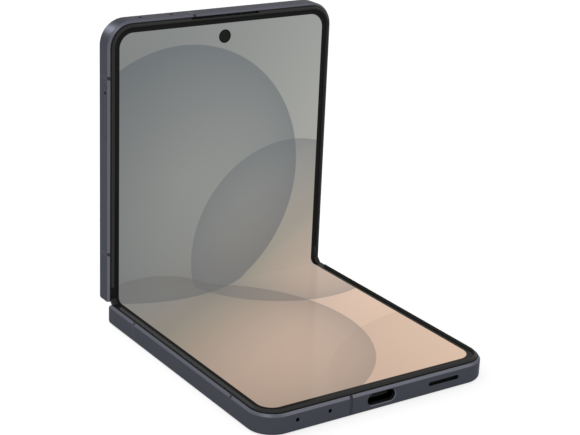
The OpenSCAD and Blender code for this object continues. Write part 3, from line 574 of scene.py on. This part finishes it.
def paint_insides():
    """Pieces inside the casing, apart from the hinge and the port."""
    dark = grained("moulded_black", colour("0C0C0D"), colour("131314"), 4000.0, 0.000008, (0.45, 0.6))
    paint("loudspeaker earpiece", dark.material)

    brass = brushed("brass", colour("B59A5C"), colour("C2A768"), 2, (0.24, 0.34))
    paint("key_switches", brass)
    paint_boards()
    paint_batteries()
    paint_coil()


def paint_boards():
    """Green solder mask with scattered gilt pads."""
    board = Material("circuit_board", Specular_IOR_Level=0.5)
    bricks = board.add("TexBrick", {"Vector": board.place, "Scale": 900.0, "Mortar Size": 0.16,
                                    "Color1": colour("0C2A20"), "Color2": colour("10352A"),
                                    "Mortar": colour("1D5140")})
    grain = board.noise(board.place, 3000.0, 3.0)
    cells = board.add("TexVoronoi", {"Vector": board.place, "Scale": 1300.0}).outputs["Distance"]
    pad = board.math("SUBTRACT", 1.0, board.step(cells, 0.12, 0.16))
    board.set("Base Color", board.mix(pad, bricks.outputs["Color"], colour("B98F48")))
    board.set("Metallic", board.math("MULTIPLY", pad, 0.9))
    board.set("Roughness", board.spread(grain, 0.3, 0.45))
    board.bump(bricks.outputs["Fac"], 0.00002, 0.5)
    paint("sub_board main_board", board.material)


def paint_batteries():
    """Creased black foil."""
    foil = Material("battery_foil", Specular_IOR_Level=0.5)
    creases = foil.noise(foil.place, 240.0, 5.0, 0.65)
    weave = foil.noise(foil.place, 7000.0, 2.0)
    foil.set("Base Color", foil.mix(creases, colour("121215"), colour("212126")))
    foil.set("Roughness", foil.spread(weave, 0.28, 0.44))
    foil.bump(creases, 0.00008, 0.5)
    paint("lower_battery upper_battery", foil.material)


def paint_coil():
    """Copper wound in rings, dark between the turns."""
    coil = Material("wound_copper", Metallic=1.0)
    x, y, _ = coil.axes()
    away = coil.vector("LENGTH", coil.add("CombineXYZ", {0: x, 1: y}).outputs[0]).outputs["Value"]
    turns = coil.step(coil.wave(away, COIL_PITCH), -1.0, -0.6)
    coil.set("Base Color", coil.mix(turns, colour("4A2A16"), colour("BC7A48")))
    coil.set("Roughness", coil.spread(coil.noise(coil.place, 4000.0, 3.0), 0.22, 0.34))
    coil.bump(turns, 0.00004)
    paint("charging_coil", coil.material)


def make_finishes():
    for finish in (paint_metal, paint_rings, paint_soft, paint_back_glass, paint_cover_glass,
                   paint_cameras, paint_steel, paint_port, paint_insides):
        finish()


# ---- Stage --------------------------------------------------------------------

def make_camera():
    """Camera solved from the photo's corners and edges."""
    data = bpy.data.cameras.new("camera")
    data.lens, data.sensor_width = 95.241, 36.0
    data.clip_start, data.clip_end = 0.01, 20.0
    camera = bpy.data.objects.new("camera", data)
    camera.location = (-0.22894, -0.32781, 0.18408)
    camera.rotation_euler = [math.radians(a) for a in (70.1927, -2.3251, -33.6981)]
    bpy.context.scene.collection.objects.link(camera)
    bpy.context.scene.camera = camera


def direct_view(n):
    """1 for what the camera sees straight or in gloss and glass, 0 for light on surfaces."""
    path = n.add("LightPath").outputs
    seen = n.math("MAXIMUM", path["Is Camera Ray"], path["Is Glossy Ray"])
    return n.math("MAXIMUM", seen, path["Is Transmission Ray"])


def make_floor():
    """Pale floor that shows white to the camera and keeps the shadow."""
    mesh = bmesh.new()
    bmesh.ops.create_grid(mesh, x_segments=1, y_segments=1, size=6.0)
    data = bpy.data.meshes.new("floor")
    mesh.to_mesh(data)
    mesh.free()
    floor = bpy.data.objects.new("floor", data)
    bpy.context.scene.collection.objects.link(floor)
    m = Material("floor", Roughness=0.9, Specular_IOR_Level=0.1)
    seen = direct_view(m)
    m.set("Base Color", m.mix(seen, (0.78, 0.78, 0.78, 1), (0.38, 0.38, 0.38, 1)))
    m.set("Emission Color", WHITE)
    m.set("Emission Strength", m.math("MULTIPLY", seen, 0.7))
    data.materials.append(m.material)


def area_lamp(name, place, aim, size, power):
    data = bpy.data.lights.new(name, "AREA")
    data.shape = "RECTANGLE"
    data.size, data.size_y = size
    data.energy = power
    lamp = bpy.data.objects.new(name, data)
    lamp.location = place
    lamp.rotation_mode = "QUATERNION"
    lamp.rotation_quaternion = (Vector(aim) - Vector(place)).to_track_quat("-Z", "Y")
    bpy.context.scene.collection.objects.link(lamp)


def make_light():
    world = bpy.data.worlds.new("studio")
    world.use_nodes = True
    n = Nodes(world.node_tree)
    world.node_tree.nodes.clear()
    strength = n.spread(direct_view(n), 0.8, 1.0)
    ground = n.add("Background", {"Color": WHITE, "Strength": strength})
    n.add("OutputWorld", {"Surface": ground.outputs[0]})
    bpy.context.scene.world = world
    phone, upper_corner = (0, 0, 0.03), (-0.037, 0.045, 0.09)
    area_lamp("key", (-0.45, -0.3, 0.75), phone, (0.5, 0.5), 0.7)
    area_lamp("fill", (0.5, -0.7, 0.45), phone, (0.6, 0.4), 0.4)
    area_lamp("back", (-0.16, 0.33, 0.28), upper_corner, (0.12, 0.12), 0.55)


# ---- The scene ----------------------------------------------------------------

make_camera()
make_light()
make_floor()
make_finishes()
make_screens()

bpy.context.scene.view_settings.view_transform = "Standard"
